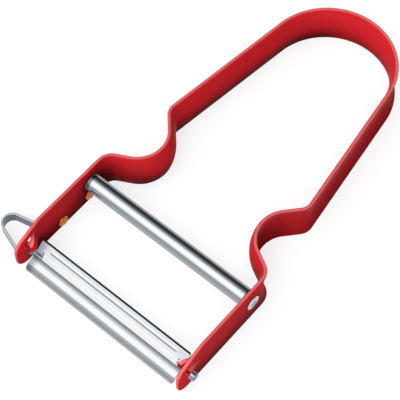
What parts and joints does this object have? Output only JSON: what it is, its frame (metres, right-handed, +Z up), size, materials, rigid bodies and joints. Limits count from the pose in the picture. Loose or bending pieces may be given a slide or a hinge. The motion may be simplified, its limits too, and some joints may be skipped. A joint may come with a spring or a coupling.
{
  "type": "vegetable peeler",
  "caption": "Y-shaped hand peeler: one bent metal strip forms the arms and handle loop and carries a swivelling slotted blade, a round crossbar and a looped eye remover.",
  "frame": {"origin": "below the middle of the peeler's box, on the surface that the lower edge of the strip lies on", "axes": "+X across the blade, away from the eye remover; +Y from the blade to the end of the handle loop; +Z up"},
  "size_m": [0.066, 0.11, 0.0126],
  "materials": {
    "red_anodised_strip": "red anodised, satin gloss",
    "polished_rod": "polished",
    "dull_rivet": "dull, as pressed",
    "blade_steel": "finely ground along its length",
    "eye_steel": "bright rolled strip",
    "copper_rivet": "copper, slightly tarnished"
  },
  "bodies": {
    "handle": {"handle_strip": "red_anodised_strip", "crossbar": "polished_rod", "crossbar_rivet_left": "dull_rivet", "crossbar_rivet_right": "dull_rivet", "eye_remover": "eye_steel", "eye_rivet_front": "copper_rivet", "eye_rivet_rear": "copper_rivet"},
    "blade": {"blade": "blade_steel"}
  },
  "joints": [
    {"name": "blade_swivel", "type": "hinge", "parent": "handle", "child": "blade", "pos_m": [0.00462, -0.05027, 0.00387], "axis": [1, 0, 0], "range_deg": [-63, 10]}
  ]
}
